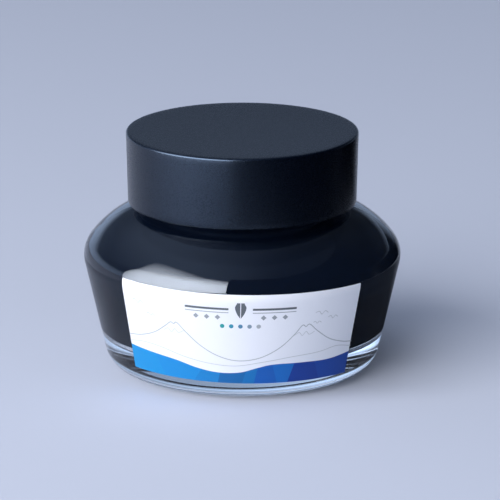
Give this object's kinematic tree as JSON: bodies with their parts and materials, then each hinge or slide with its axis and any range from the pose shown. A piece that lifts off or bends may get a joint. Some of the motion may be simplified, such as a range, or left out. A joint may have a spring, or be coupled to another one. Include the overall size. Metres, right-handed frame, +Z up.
{
  "type": "ink bottle",
  "caption": "Squat round glass ink bottle with tapered side, domed shoulder, wide black screw cap, filling cup in the neck and a paper front label.",
  "frame": {"origin": "centre of the foot ring, on the surface the bottle stands on", "axes": "+Z up along the bottle's axis, the label faces -Y"},
  "size_m": [0.07, 0.0701, 0.0528],
  "materials": {
    "clear_glass": "polished, clear, thick",
    "ink_fill": "near-black blue liquid",
    "cup_plastic": "moulded black",
    "label_paper": "smooth white paper with blue and grey print",
    "cap_black": "satin moulded black",
    "cap_inner": "moulded black",
    "liner_foam": "white foamed sheet"
  },
  "bodies": {
    "bottle": {"glass_bottle": "clear_glass", "ink": "ink_fill", "ink_reservoir": "cup_plastic", "front_label": "label_paper"},
    "seal": {"cap_liner": "liner_foam"},
    "cap": {"cap_shell": "cap_black", "cap_insert": "cap_inner"}
  },
  "joints": [
    {"name": "cap_rise", "type": "slide", "parent": "bottle", "child": "seal", "axis": [0, 0, 1], "range_m": [0, 0.01694]},
    {"name": "cap_turn", "type": "hinge", "parent": "seal", "child": "cap", "pos_m": [0, 0, 0.037], "axis": [0, 0, 1], "range_deg": [0, 1440]}
  ],
  "couplings": [
    {"joint": "cap_rise", "follows": "cap_turn", "m_per_rad": 0.00067375}
  ]
}
